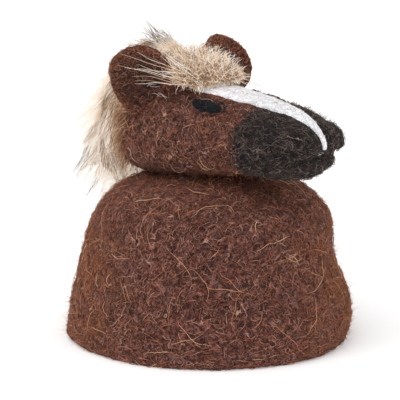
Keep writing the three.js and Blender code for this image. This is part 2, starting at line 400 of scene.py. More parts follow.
def lumpy_tree():
    """Moves the surface along its normals by slow swells and by smaller lumps, in millimetres.

    grow moves all of it outwards, and no point sinks below the height lowest.
    """
    kinds = dict.fromkeys(("grow", "swell", "swell_size", "lump", "lump_size", "lowest"), "number")
    tree, skin, size = modelling_tree("lumpy_felt", **kinds, finish="material")
    position = make(tree, "GeometryNodeInputPosition")
    normal = make(tree, "GeometryNodeInputNormal")
    place = position * (1 / MM)
    swells = noise(place / size["swell_size"], 1.0, detail=1.0) - 0.5
    lumps = noise(place / size["lump_size"] + (7.3, 1.9, 4.1), 1.0, detail=2.0) - 0.5
    height = (swells * size["swell"] + lumps * size["lump"]) * (2 * MM) + size["grow"] * MM
    moved = position + normal * height
    floor_height = moved.axis("Z").most(size["lowest"] * MM)
    level = {0: moved.axis("X"), 1: moved.axis("Y"), 2: floor_height}
    level = make(tree, "ShaderNodeCombineXYZ", (), level)
    shaped = make(tree, "GeometryNodeSetPosition", (), {"Geometry": skin, "Position": level})
    end_tree(shaped, size["finish"])
    return tree


LUMPY = lumpy_tree()

# %% [markdown]
# ## Felt as a material
#
# Seen close, brown felt is a tangle of fibres of many browns, with dark pits between them where
# the needle or the fulling drew the wool in. The material mixes soft patches, a fine mottle and
# the outlines of noise, which wander like curled fibres, and the same masks drive the bump. The
# shade in the pits and a shadow beside each strand are painted into the colour. A constant sheen
# gives the pale edge of a fuzzy cloth.

# %% The start and the end of every felt finish
WOOL_ROUGHNESS = 0.9
WOOL_SPECULAR = 0.25


def new_finish(name):
    """A new material with only its output; gives its tree and its place in millimetres."""
    finish = bpy.data.materials.new(name)
    finish.use_nodes = True
    tree = finish.node_tree
    tree.nodes.clear()
    place = make(tree, "ShaderNodeTexCoord", (), (), "Object") * (1 / MM)
    return finish, tree, place


def end_finish(tree, colour, height, depth, sheen, sheen_tint, painted_glow=0.0):
    """Joins a colour and a bump of a depth in millimetres to the output.

    The last number is painted glow: an emission in the wool's own colour, which stands in for the
    light that pale wool passes on inside.
    """
    relief = {"Height": height, "Distance": depth * MM, "Strength": 1.0}
    bump = make(tree, "ShaderNodeBump", (), relief, "Normal")
    inputs = {"Base Color": colour, "Roughness": WOOL_ROUGHNESS, "Normal": bump}
    # painted glow: the wool gives off a little light of its own colour
    if painted_glow:
        inputs["Emission Color"] = colour
        inputs["Emission Strength"] = painted_glow
    fixed = {"Sheen Weight": sheen, "Sheen Roughness": 0.5, "Sheen Tint": sheen_tint}
    fixed["Specular IOR Level"] = WOOL_SPECULAR
    make_output(tree, make(tree, "ShaderNodeBsdfPrincipled", (), {**inputs, **fixed}))


def make_output(tree, shader):
    output = tree.nodes.new("ShaderNodeOutputMaterial")
    tree.links.new(shader.socket, output.inputs["Surface"])
    print(f"a finish of {len(tree.nodes)} nodes")


def mixed(mask, first, second):
    """Colour first where the mask is 0 and second where it is 1."""
    settings = {"data_type": "RGBA"}
    return mask.make("ShaderNodeMix", settings, {0: mask, 6: first, 7: second}, 2)

# %% The patches and the strands of felt
# Soft patches of other shades below the strands: how each one's noise is shifted, its size in
# millimetres, its detail, the values from which and to which it rises, how strongly the patches
# show, and their shade.
PATCHES = [
    ((4.0, 4.0, 2.0), 15.0, 1.0, 0.46, 0.62, 0.40, "red"),
    ((5.0, 1.0, 9.0), 3.5, 3.0, 0.47, 0.62, 0.75, "red"),
    ((1.0, 8.0, 3.0), 4.5, 3.0, 0.47, 0.60, 0.85, "cool"),
    ((6.0, 2.0, 7.0), 0.65, 1.0, 0.52, 0.64, 0.40, "light"),
    # small dark spots of painted shade, as in pits between the fibres
    ((2.0, 4.0, 1.0), 0.75, 1.0, 0.47, 0.36, 0.70, "pit"),
]

# How felt's tangle is layered, from the deepest strands to the topmost: the size of their curls
# and their width in millimetres, how strongly they show, and which of the wool's shades they have.
TANGLE = [
    {"size": 0.8, "width": 0.20, "show": 0.60, "shade": "light"},
    {"size": 1.3, "width": 0.22, "show": 0.80, "shade": "pit"},
    {"size": 1.1, "width": 0.20, "show": 0.70, "shade": "red"},
    {"size": 1.9, "width": 0.20, "show": 0.80, "shade": "deep"},
    {"size": 1.5, "width": 0.20, "show": 0.70, "shade": "light"},
    {"size": 2.4, "width": 0.20, "show": 0.75, "shade": "red"},
    {"size": 3.3, "width": 0.18, "show": 0.75, "shade": "pale"},
]

# %% The tangle of felt
def tangle_layer(place, seed, size, width, **_):
    """Wandering strands, where a noise passes its middle, and the shadow beside each of them."""
    field = noise(place + (seed * 13.0, seed * -7.0, seed * 5.0), size, detail=1.0) - 0.5
    here = noise(place + (seed * -3.0, seed * 9.0, 0.0), size * 1.6).step(0.42, 0.58)
    edge = 0.35 * width / size
    strand = abs(field).step(edge, 0.0) * here
    shadow = abs(field + 1.6 * edge).step(2.2 * edge, 0.3 * edge) * here
    return strand, shadow


def felt_surface(place, wool):
    """The colour and the height of a tangle of wool; wool names its shades, from pit to pale."""
    drift = noise(place, 2.2, output="Color") - 0.5
    place = place + drift * 1.8
    mottle = noise(place, 1.2, detail=4.0)
    colour = mixed(mottle.step(0.43, 0.57), wool["deep"], wool["middle"])
    for shift, size, detail, low, high, show, shade in PATCHES:
        patches = noise(place + shift, size, detail).step(low, high)
        colour = mixed(patches * show, colour, wool[shade])
    height = mottle
    for seed, layer in enumerate(TANGLE):
        strand, shadow = tangle_layer(place, seed + 1.0, **layer)
        colour = mixed(shadow * 0.7, colour, wool["pit"])
        colour = mixed(strand * layer["show"], colour, wool[layer["shade"]])
        height = height + strand * 0.35 - shadow * 0.15
    # Painted shade in the pits between the fibres; the same pits also sink the bump.
    pits = noise(place + (3.0, 8.0, 5.0), 1.5, detail=2.0).step(0.42, 0.33)
    colour = mixed(pits * 0.9, colour, wool["pit"])
    return colour, height - pits * 0.8


def felt(name, wool, sheen, glow, depth=0.35, painted_glow=0.0):
    """Felt in the shades of one wool, with a sheen in the colour of its glow."""
    finish, tree, place = new_finish(name)
    colour, height = felt_surface(place, wool)
    end_finish(tree, colour, height, depth, sheen, glow, painted_glow)
    return finish

# %% Shade where two pieces meet
CREASE_SHADE = rgb(36, 26, 33)


def shaded_in_creases(tree, colour):
    """A colour with painted shade, dark where the mesh says that another piece is close."""
    return mixed(attribute(tree, "closeness") * 0.85, colour, CREASE_SHADE)


def attribute(tree, name):
    """A number that a mesh holds at each of its points, or 0 where it holds none."""
    return make(tree, "ShaderNodeAttribute", {"attribute_name": name}, (), "Fac")


def surface_of(piece):
    """A search tree that finds the nearest point on a piece."""
    faces = [face.vertices for face in piece.data.polygons]
    return BVHTree.FromPolygons([vertex.co for vertex in piece.data.vertices], faces)


def store_closeness(piece, other, reach):
    """Stores 1 where a piece touches another one, down to 0 a reach in millimetres away."""
    surface = surface_of(other)
    closeness = piece.data.attributes.new("closeness", "FLOAT", "POINT")
    for vertex, value in zip(piece.data.vertices, closeness.data):
        distance = surface.find_nearest(vertex.co, reach * MM)[3]
        value.value = 0.0 if distance is None else 1 - distance / MM / reach

# %% Brown wool
BROWN_WOOL = {
    "pit": rgb(32, 13, 14),
    "deep": rgb(80, 45, 43),
    "cool": rgb(96, 67, 70),
    "middle": rgb(118, 74, 67),
    "red": rgb(134, 74, 58),
    "light": rgb(168, 120, 107),
    "pale": rgb(204, 158, 138),
}
BROWN_GLOW = (*rgb(214, 138, 100), 1.0)
brown_felt = felt("brown_wool_felt", BROWN_WOOL, 0.35, BROWN_GLOW)

# %% [markdown]
# ## Loose fibres
#
# No felt is smooth: curled fibres lie on it, half worked in, and finer ones stand off it as a
# haze. Each fibre is a short tube with three sides. A tree scatters roots over the skin, draws a
# bent line at each root, lays it back on the skin with Geometry Proximity and lifts its middle a
# little, so that both its ends are worked in. Near a hem, fulling rolls the fibres level.

# %% Small steps that both fibre trees share
def chance(tree, low, high, seed):
    """A random number or vector for each point or hair, evenly from low to high."""
    if is_vector(low):
        limits = {0: low, 1: high, 8: seed}
        return make(tree, "FunctionNodeRandomValue", {"data_type": "FLOAT_VECTOR"}, limits, 0)
    limits = {2: low, 3: high, 8: seed}
    return make(tree, "FunctionNodeRandomValue", {"data_type": "FLOAT"}, limits, 1)

# %% What the points of a tree remember
def remember(geometry, **fields):
    """Stores fields on points as named attributes, which hairs grown there keep."""
    for name, field in fields.items():
        settings = {"data_type": "FLOAT_VECTOR" if is_vector(field) else "FLOAT", "domain": "POINT"}
        inputs = {"Geometry": geometry, "Name": name, "Value": field}
        geometry = geometry.make("GeometryNodeStoreNamedAttribute", settings, inputs)
    return geometry


def recall(tree, name, kind="FLOAT"):
    return make(tree, "GeometryNodeInputNamedAttribute", {"data_type": kind}, {"Name": name})


def recall_vector(tree, name):
    return recall(tree, name, "FLOAT_VECTOR")

# %% Roots, the lines that start there, and tubes along the lines
IN_THE_HOLLOW = (0.0, 0.0, 30 * MM)  # the skin that faces this place is the cap's inside


def scattered(skin, density, seed, inside=None):
    """Roots scattered over a skin and the direction it faces; a hollow's inside has a share."""
    if inside is not None:
        from_there = make(skin.tree, "GeometryNodeInputPosition") - IN_THE_HOLLOW
        outward = make(skin.tree, "GeometryNodeInputNormal").dot(from_there)
        density = density * outward.math("GREATER_THAN", outward, 0.0).most(inside)
    inputs = {"Mesh": skin, "Density": density, "Seed": seed}
    points = skin.make("GeometryNodeDistributePointsOnFaces", (), inputs, "Points")
    return points, points.out("Normal")


def lines_at(points, count):
    """A line with some points at every root; gives the lines and the share along each."""
    line = points.make("GeometryNodeCurvePrimitiveLine", (), {"End": (0.0, 0.0, MM)})
    line = line.make("GeometryNodeResampleCurve", (), {"Curve": line, "Count": count})
    lines = line.make("GeometryNodeInstanceOnPoints", (), {"Points": points, "Instance": line})
    real = lines.make("GeometryNodeRealizeInstances", (), {"Geometry": lines})
    return real, real.make("GeometryNodeSplineParameter", (), (), "Factor")


def moved_to(geometry, place):
    """Moves points to a place, but never below the floor that the cosy stands on."""
    level = place.axis("Z").most(FLOOR_GAP * MM)
    axes = {0: place.axis("X"), 1: place.axis("Y"), 2: level}
    place = place.make("ShaderNodeCombineXYZ", (), axes)
    return geometry.make("GeometryNodeSetPosition", (), {"Geometry": geometry, "Position": place})


def tubes(lines, radius):
    """Each line as a closed tube with three sides."""
    ring = lines.make("GeometryNodeCurvePrimitiveCircle", (), {"Resolution": 3, "Radius": 1.0})
    inputs = {"Curve": lines, "Profile Curve": ring, "Scale": radius, "Fill Caps": True}
    return lines.make("GeometryNodeCurveToMesh", (), inputs)

# %% Ground for fibres that other pieces leave bare
def bare_ground(piece, *others, gap=0.4):
    """A copy of a piece without the parts that other pieces cover or come near, for its fibres."""
    covers = [surface_of(other) for other in others]
    body = bmesh.new()
    body.from_mesh(piece.data)
    hidden = [v for v in body.verts if any(c.find_nearest(v.co, gap * MM)[0] for c in covers)]
    bmesh.ops.delete(body, geom=hidden, context="VERTS")
    print(f"{piece.name}: other pieces hide {len(hidden)} of its points")
    mesh = bpy.data.meshes.new(f"{piece.name}_ground")
    body.to_mesh(mesh)
    body.free()
    return linked(bpy.data.objects.new(mesh.name, mesh))

# %% Small patches of ground, where a few fibres grow
def patch_of(piece, name, inside, comb=None):
    """A copy of some faces of a piece; inside picks its points, and comb gives its hairs' way."""
    body = bmesh.new()
    body.from_mesh(piece.data)
    outside = [vertex for vertex in body.verts if not inside(vertex.co / MM)]
    bmesh.ops.delete(body, geom=outside, context="VERTS")
    mesh = bpy.data.meshes.new(name)
    body.to_mesh(mesh)
    body.free()
    if comb:
        combed = mesh.attributes.get("comb") or mesh.attributes.new("comb", "FLOAT_VECTOR", "POINT")
        for vertex, value in zip(mesh.vertices, combed.data):
            value.vector = comb(vertex.co / MM, vertex.normal)
    return linked(bpy.data.objects.new(name, mesh))


def grown_on_patch(patch, name, tree, **values):
    """A new piece that a tree grows from a patch, which isn't kept."""
    grown = grown_on(patch, name, tree, **values)
    bpy.data.objects.remove(patch)
    return grown


def ball(x, y, z, reach):
    """Picks the points within reach of a place."""
    return lambda place: (place - Vector((x, y, z))).length < reach


def close_to(piece, reach):
    """Picks the points within reach of another piece, in millimetres."""
    surface = surface_of(piece)
    return lambda place: surface.find_nearest(place * MM, reach * MM)[0] is not None

# %% The tree that lays curled fibres on a skin
def fibre_tree():
    """Fibres in millimetres; bend is the most that one turns along its length, in radians.

    stray is the share of a full turn in which fibres may lie, where 0 lays all of them level.
    hem is the height of a rolled hem, if any; in its lower half fibres lie nearly level.
    """
    numbers = ("density", "shortest", "longest", "bend", "wave", "wave_size", "thickness")
    kinds = dict.fromkeys((*numbers, "lift", "hem"), "number")
    kinds.update(inside="share", stray="share", points="whole", seed="whole", finish="material")
    tree, skin, size = modelling_tree("laid_fibres", **kinds)
    roots, normal = scattered(skin, size["density"] * (1 / MM**2), size["seed"], size["inside"])
    root = make(tree, "GeometryNodeInputPosition")
    level = make(tree, "ShaderNodeCombineXYZ", (), {0: 0.04, 1: 0.03, 2: 1.0}).cross(normal).unit()
    upward = normal.cross(level)
    free = (root.axis("Z") / (size["hem"].most(0.001) * MM) - 0.35).most(0.12).least(1.0)
    angle = chance(tree, -pi, pi, 1) * free * size["stray"]
    span = size["longest"] - size["shortest"]
    along = level * angle.cosine() + upward * angle.sine()
    roots = remember(
        roots,
        root=root,
        along=along,
        beside=normal.cross(along),
        length=chance(tree, 0.0, 1.0, 2) ** 1.5 * span + size["shortest"],
        bend=chance(tree, -1.0, 1.0, 3),
        rise=chance(tree, 0.0, 1.0, 4),
        tint=chance(tree, 0.0, 1.0, 5),
        drift=chance(tree, (0.0, 0.0, 0.0), (90.0, 90.0, 90.0), 6),
    )
    lines, share = lines_at(roots, size["points"])
    turn = recall(tree, "bend") * size["bend"] + 0.013
    reach = recall(tree, "length") * MM
    s = share - 0.5
    forward = (turn * s).sine() / turn * reach
    aside = (1.0 - (turn * s).cosine()) / turn * reach
    place = recall_vector(tree, "root") + recall_vector(tree, "along") * forward
    place = place + recall_vector(tree, "beside") * aside
    waving = place / (size["wave_size"] * MM) + recall_vector(tree, "drift")
    wave = noise(waving, 1.0, output="Color") - 0.5
    place = place + wave * (size["wave"] * (2 * MM))
    nearest = {"Geometry": skin, "Sample Position": place}
    ground = make(tree, "GeometryNodeProximity", (), nearest, "Position")
    facing = make(
        tree,
        "GeometryNodeSampleNearestSurface",
        {"data_type": "FLOAT_VECTOR"},
        {"Mesh": skin, "Value": make(tree, "GeometryNodeInputNormal"), "Sample Position": place},
    )
    arch = (share * pi).sine()
    height = (arch * (recall(tree, "rise") * 1.4 + 0.3) - 0.25) * size["lift"] * MM
    lines = moved_to(lines, ground + facing * height)
    radius = (arch * 0.65 + 0.35) * size["thickness"] * (0.5 * MM)
    end_tree(tubes(lines, radius), size["finish"])
    return tree


LAID_FIBRES = fibre_tree()

# %% The tree that stands a haze of fine fibres on a skin
def haze_tree():
    """Fine fibres that stand off a skin; lean is how far they bend over, from 0 to 1."""
    numbers = ("density", "shortest", "longest", "lean", "wave", "thickness")
    kinds = dict.fromkeys(numbers, "number")
    kinds.update(inside="share", points="whole", seed="whole", finish="material")
    tree, skin, size = modelling_tree("haze", **kinds)
    roots, normal = scattered(skin, size["density"] * (1 / MM**2), size["seed"], size["inside"])
    pull = chance(tree, (-1.0, -1.0, -1.0), (1.0, 1.0, 1.0), 1)
    span = size["longest"] - size["shortest"]
    roots = remember(
        roots,
        root=make(tree, "GeometryNodeInputPosition"),
        along=normal,
        beside=(pull + (0.0, 0.0, -0.1)) * size["lean"],
        length=chance(tree, 0.0, 1.0, 2) ** 2.0 * span + size["shortest"],
        tint=chance(tree, 0.0, 1.0, 5),
        drift=chance(tree, (0.0, 0.0, 0.0), (90.0, 90.0, 90.0), 6),
    )
    lines, share = lines_at(roots, size["points"])
    reach = recall(tree, "length") * MM
    beside = recall_vector(tree, "beside") * (share * share)
    out = recall_vector(tree, "along") * (share - 0.05) + beside
    place = recall_vector(tree, "root") + out * reach
    wave = noise(place * (1 / MM) + recall_vector(tree, "drift"), 1.1, output="Color") - 0.5
    lines = moved_to(lines, place + wave * (share * size["wave"] * (2 * MM)))
    radius = (1.15 - share) * size["thickness"] * (0.5 * MM)
    end_tree(tubes(lines, radius), size["finish"])
    return tree


HAZE = haze_tree()

# %% A finish for single fibres
def ramp_of(tint, colours):
    """Colours at even steps along a ramp, picked by a tint from 0 to 1."""
    stops = [(i / (len(colours) - 1), colour) for i, colour in enumerate(colours)]
    return tint.make("ShaderNodeValToRGB", {"stops": stops}, {"Fac": tint}, "Color")


def fibre_finish(name, colours, sheen_tint, sheen=0.2, patch=None, patch_colour=None):
    """Each fibre has one shade, picked from a ramp of colours by its own random tint.

    patch gives a share from 0 to 1 for a tree and a place, and fibres take patch_colour there.
    """
    finish, tree, place = new_finish(name)
    tint = attribute(tree, "tint")
    shade = ramp_of(tint, colours)
    if patch:
        shade = mixed(patch(tree, place) * tint.step(0.1, 0.4) * 0.75, shade, patch_colour)
    shade = shaded_in_creases(tree, shade)
    fixed = {"Roughness": 0.7, "Specular IOR Level": 0.3}
    fixed.update({"Sheen Weight": sheen, "Sheen Tint": sheen_tint})
    make_output(tree, make(tree, "ShaderNodeBsdfPrincipled", (), {"Base Color": shade, **fixed}))
    return finish

# %% [markdown]
# ## Fur
#
# The mane and the forelock are real fur: hairs of one place lean together into locks, wave alike
# and end in one colour. The tree grows every hair from the pile's skin along an arrow that the
# skin holds for it, its comb; a longer arrow grows longer hair. Each hair then bends over to the
# nearest of a few guide hairs, more and more towards its tip, which draws the hairs into locks.

# %% A point on a hair
def hair_place(root, way, length, droop, share):
    """A point on a hair: out from its root along its way, and down by its own weight."""
    reach = length * MM
    fall = make(root.tree, "ShaderNodeCombineXYZ", (), {2: droop * reach * (share * share) * -1.0})
    return root + way * (reach * share) + fall

# %% The tree that grows fur in locks
def fur_tree():
    """Hairs in millimetres; lock is how tightly they gather, and dark the share of dark tips.

    spread is how far a hair's way may turn from the comb, locks the guide hairs of a square
    millimetre, and droop how far a hair's tip sinks, as a share of its length.
    """
    numbers = ("density", "locks", "shortest", "longest", "spread", "lock", "droop")
    numbers += ("wave", "wave_size", "frizz", "thickness", "dark")
    kinds = dict.fromkeys(numbers, "number")
    kinds.update(points="whole", seed="whole", finish="material")
    tree, skin, size = modelling_tree("fur", **kinds)

    def rooted(density, seed, length_power):
        """Roots on the skin, each with the way, the length and the shade of its hair."""
        roots, _ = scattered(skin, density * (1 / MM**2), seed)
        comb = recall_vector(tree, "comb")
        loose = chance(tree, (-1.0, -1.0, -1.0), (1.0, 1.0, 1.0), 1) * size["spread"]
        span = size["longest"] - size["shortest"]
        length = chance(tree, 0.0, 1.0, 2) ** length_power * span + size["shortest"]
        return remember(
            roots,
            root=make(tree, "GeometryNodeInputPosition"),
            way=(comb.unit() + loose).unit(),
            length=length * comb.length(),
            tint=chance(tree, 0.0, 1.0, 5),
            drift=chance(tree, (0.0, 0.0, 0.0), (90.0, 90.0, 90.0), 6),
        )

    guides = rooted(size["locks"], size["seed"] + 1.0, 1.0)
    hairs = rooted(size["density"], size["seed"], 1.6)
    near = make(tree, "GeometryNodeSampleNearest", (), {"Geometry": guides})

    def of_guide(name, kind):
        """What the nearest guide hair remembers under a name."""
        settings = {"data_type": kind}
        inputs = {"Geometry": guides, "Value": recall(tree, name, kind), "Index": near}
        return make(tree, "GeometryNodeSampleIndex", settings, inputs)

    vectors = {f"lock_{name}": of_guide(name, "FLOAT_VECTOR") for name in ("root", "way", "drift")}
    values = {f"lock_{name}": of_guide(name, "FLOAT") for name in ("length", "tint")}
    hairs = remember(hairs, **vectors, **values)
    lines, share = lines_at(hairs, size["points"])
    own = hair_place(
        recall_vector(tree, "root"), recall_vector(tree, "way"), recall(tree, "length"),
        size["droop"], share
    )
    lock = hair_place(
        recall_vector(tree, "lock_root"),
        recall_vector(tree, "lock_way"),
        recall(tree, "lock_length") * 0.5 + recall(tree, "length") * 0.5,
        size["droop"],
        share,
    )
    gathered = share.step(0.0, 0.9) * size["lock"]
    place = own + (lock - own) * gathered
    scale = 1.0 / (size["wave_size"] * MM)
    wave = noise(place * scale + recall_vector(tree, "lock_drift"), 1.0, output="Color") - 0.5
    frizz = noise(place * (scale * 1.7) + recall_vector(tree, "drift"), 1.0, output="Color") - 0.5
    shaken = (wave * size["wave"] + frizz * size["frizz"]) * (share * (2 * MM))
    lines = moved_to(lines, place + shaken)
    tips = (recall(tree, "lock_tint") * -1.0 + size["dark"]).step(0.0, 0.05)
    lines = remember(lines, share=share, dark=tips * share.step(0.3, 0.65))
    radius = (1.0 - share * share * 0.7) * size["thickness"] * (0.5 * MM)
    end_tree(tubes(lines, radius), size["finish"])
    return tree


FUR = fur_tree()

# %% A finish for hairs, darker at the root by painted shade and, on some locks, dark at the tip
def hair_finish(name, root, colours, tip, glow=0.2):
    """Hair in shades picked by tint, with painted shade towards the root; glow is painted light, an
    emission that stands in for the light that pale fur passes on inside.
    """
    finish, tree, _ = new_finish(name)
    tint, share, dark = (attribute(tree, word) for word in ("tint", "share", "dark"))
    shade = ramp_of(tint, colours)
    # painted shade: each hair turns darker towards its root
    shade = mixed(share.step(0.5, 0.0) * 0.8, shade, root)
    shade = mixed(dark, shade, tip)
    # Emission Strength is painted glow, light given off in the hair's own colour
    fixed = {"Roughness": 0.5, "Specular IOR Level": 0.2, "Emission Strength": glow}
    inputs = {"Base Color": shade, "Emission Color": shade, **fixed}
    make_output(tree, make(tree, "ShaderNodeBsdfPrincipled", (), inputs))
    return finish

# %% Brown, pale and orange fibres
BROWN_FIBRES = [rgb(28, 12, 13), rgb(64, 34, 33), rgb(118, 68, 59)]
BROWN_FIBRES += [rgb(146, 88, 72), rgb(172, 112, 90), rgb(218, 166, 142)]
brown_fibres = fibre_finish("brown_fibres", BROWN_FIBRES, BROWN_GLOW, sheen=0.3)
PALE_FIBRES = [rgb(184, 126, 90), rgb(226, 170, 128), rgb(246, 208, 174)]
pale_fibres = fibre_finish("pale_fibres", PALE_FIBRES, BROWN_GLOW)
AMBER_FIBRES = [rgb(150, 80, 42), rgb(184, 108, 64), rgb(224, 160, 118)]
amber_fibres = fibre_finish("amber_fibres", AMBER_FIBRES, BROWN_GLOW)

# %% [markdown]
# ## The cap
#
# The cap is the working part: a dome of felt, open below, that slips over an egg. Its outside and
# its inside are one sheet of wool, fulled until it is thick, and the open edge is left as the felt
# made it, without a sewn hem.

# %% Where the cap has painted orange rim light
FLANK = (0.743, -0.669, 0.0)  # the cap's two flanks face this way and the opposite one


def painted_rim_light_share(_, place):
    """How much painted orange rim light the cap's wool has at a place: patches on both flanks, as
    the camera sees the cap, between hem and crown.
    """
    tall = place.axis("Z")
    patches = noise(place, 9.0, detail=2.0).step(0.25, 0.55)
    between = tall.step(-4.0, 8.0) * tall.step(46.0, 36.0)
    return abs(place.dot(FLANK)).step(21.0, 35.0) * patches * between

# %% Finishes of the cap
AMBER_WOOL = {
    **BROWN_WOOL,
    "deep": rgb(96, 52, 34),
    "middle": rgb(140, 84, 54),
    "red": rgb(152, 84, 50),
    "light": rgb(178, 122, 92),
}


def cap_finish():
    """Brown wool, with painted orange rim light in patches on both flanks and painted shade in the
    crease at the crown.
    """
    finish, tree, place = new_finish("cap_wool")
    colour, height = felt_surface(place, BROWN_WOOL)
    amber, _ = felt_surface(place, AMBER_WOOL)
    colour = mixed(painted_rim_light_share(tree, place) * 0.9, colour, amber)
    colour = shaded_in_creases(tree, colour)
    end_finish(tree, colour, height, depth=0.4, sheen=0.4, sheen_tint=BROWN_GLOW)
    return finish


cap_wool = cap_finish()
AMBER = rgb(172, 104, 62)
# The cap's fibres take amber on both flanks too, the same painted rim light.
cap_fibre = fibre_finish(
    "cap_fibre", BROWN_FIBRES, BROWN_GLOW, sheen=0.3, patch=painted_rim_light_share, patch_colour=AMBER
)

# %% The cap itself
cap = melted("felt_cap", {"cap": 0.1}, voxel=0.82, rounds=8)
run_tree(
    cap, LUMPY, swell=0.4, swell_size=9.0, lump=0.5, lump_size=1.9, lowest=FLOOR_GAP,
    finish=cap_wool
)
cap_fibres = grown_on(
    cap, "cap_fibres", LAID_FIBRES, density=0.34, inside=0.05, shortest=1.8, longest=6.0, bend=1.7,
    wave=0.75, wave_size=1.9, thickness=0.14, lift=0.45, hem=14.0, points=6, seed=3,
    finish=cap_fibre
)
cap_strays = grown_on(
    cap, "cap_strays", LAID_FIBRES, density=0.012, inside=0.05, shortest=4.0, longest=17.0,
    bend=1.8, wave=1.2, wave_size=4.5, thickness=0.16, lift=0.6, hem=14.0, points=12, seed=4,
    finish=pale_fibres
)
cap_haze = grown_on(
    cap, "cap_haze", HAZE, density=0.30, inside=0.03, shortest=0.6, longest=2.8, lean=0.9, wave=0.5,
    thickness=0.09, points=3, seed=5, finish=amber_fibres
)

# %% [markdown]
# ## The head
#
# The head and muzzle were needled as one firm form, in two colours of wool that run into each
# other. So both are remeshed as one body first, which leaves no step between them, and that body
# is then cut in two at the place where the colours meet.

# %% Helpers that clean and cut a form
def keep_largest(piece):
    """Drops the small shells that a remesh can leave inside a solid."""
    body = bmesh.new()
    body.from_mesh(piece.data)
    unseen = set(body.verts)
    shells = []
    while unseen:
        shell, front = set(), [unseen.pop()]
        while front:
            vertex = front.pop()
            shell.add(vertex)
            for edge in vertex.link_edges:
                other = edge.other_vert(vertex)
                if other in unseen:
                    unseen.discard(other)
                    front.append(other)
        shells.append(shell)
    shells.sort(key=len)
    for shell in shells[:-1]:
        bmesh.ops.delete(body, geom=list(shell), context="VERTS")
    body.to_mesh(piece.data)
    body.free()


def part_beyond(piece, name, y, side):
    """The closed part of a piece that lies in front of a plane (side -1) or behind it (side 1)."""
    body = bmesh.new()
    body.from_mesh(piece.data)
    everything = [*body.verts, *body.edges, *body.faces]
    plane = {"plane_co": (0, y, 0), "plane_no": (0, side, 0)}
    bmesh.ops.bisect_plane(body, geom=everything, clear_inner=True, **plane)
    rim = [edge for edge in body.edges if edge.is_boundary]
    bmesh.ops.holes_fill(body, edges=rim, sides=0)
    bmesh.ops.triangulate(body, faces=[face for face in body.faces if len(face.verts) > 4])
    bmesh.ops.recalc_face_normals(body, faces=body.faces)
    mesh = bpy.data.meshes.new(name)
    body.to_mesh(mesh)
    body.free()
    mesh.shade_smooth()
    return linked(bpy.data.objects.new(name, mesh))

# %% The line of the mouth
def rise(value, low, high):
    """0 below low and 1 above high, or the other way round where low is the higher one."""
    share = min(1.0, max(0.0, (value - low) / (high - low)))
    return share * share * (3 - 2 * share)


MOUTH_HEIGHT, MOUTH_SOFTNESS, MOUTH_DEPTH = 56.9, 1.6, 2.1


def press_mouth(piece):
    """Presses the line of the mouth into the front of the muzzle, deepest on the left side."""
    normals = [vertex.normal.copy() for vertex in piece.data.vertices]
    for vertex, normal in zip(piece.data.vertices, normals):
        side, ahead, height = vertex.co.x / MM, -vertex.co.y / MM, vertex.co.z / MM
        line = exp(-(((height - MOUTH_HEIGHT) / MOUTH_SOFTNESS) ** 2))
        share = rise(ahead, 36.0, 43.0) * (0.35 + 0.65 * rise(side, -3.0, 2.0))
        vertex.co -= normal * (MOUTH_DEPTH * MM * line * share)

# %% The face, cut in two
# How far in millimetres the face swells out from each solid, or stays inside it.
FACE_FILL = {"head": 0.2, "muzzle": 0.2, "blaze": -0.2, "eye_right": -0.25, "eye_left": -0.35}
face = melted("felt_face", FACE_FILL, voxel=0.5, rounds=8)
keep_largest(face)
run_tree(
    face, LUMPY, grow=-0.2, swell=0.25, swell_size=7.0, lump=0.35, lump_size=1.6, finish=brown_felt
)
press_mouth(face)
colour_edge = (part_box("head")[0].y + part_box("muzzle")[1].y) / 2
head = part_beyond(face, "felt_head", colour_edge, side=1)
muzzle = part_beyond(face, "felt_muzzle", colour_edge, side=-1)
bpy.data.objects.remove(face)
print(f"head {len(head.data.polygons)} faces, muzzle {len(muzzle.data.polygons)} faces")

# %% The finish of the face, brown behind and dark in front
DARK_WOOL = {
    "pit": rgb(8, 5, 7),
    "deep": rgb(16, 11, 13),
    "cool": rgb(34, 31, 39),
    "middle": rgb(41, 33, 34),
    "red": rgb(58, 43, 40),
    "light": rgb(104, 91, 86),
    "pale": rgb(156, 138, 126),
}
DARK_GLOW = (*rgb(120, 104, 96), 1.0)
BLUR = 1.8  # half the width in millimetres over which the two wools run into each other
ALONG = (1.0, 0.55, 1.0)  # the muzzle's strands lie along it, so they are drawn out that way
# Painted shade darkens the head around this point.
HOLLOW = (-13.0, -0.5, 74.0)  # before the right ear


def near(place, middle, outer, inner):
    """1 within a distance of a point, falling to 0 at a larger one, all in millimetres."""
    return (place - middle).length().step(outer, inner)

# %% Wool of the head, more orange at its back
HEAD_WOOL = {
    **BROWN_WOOL,
    "deep": rgb(78, 44, 38),
    "cool": rgb(92, 62, 58),
    "middle": rgb(116, 71, 58),
    "red": rgb(138, 77, 53),
}


def back_share(_, place):
    """How orange the head's wool is at a place: patches at its back, where the mane begins."""
    return place.axis("Y").step(7.0, 21.0) * noise(place, 5.0, detail=2.0).step(0.25, 0.5)

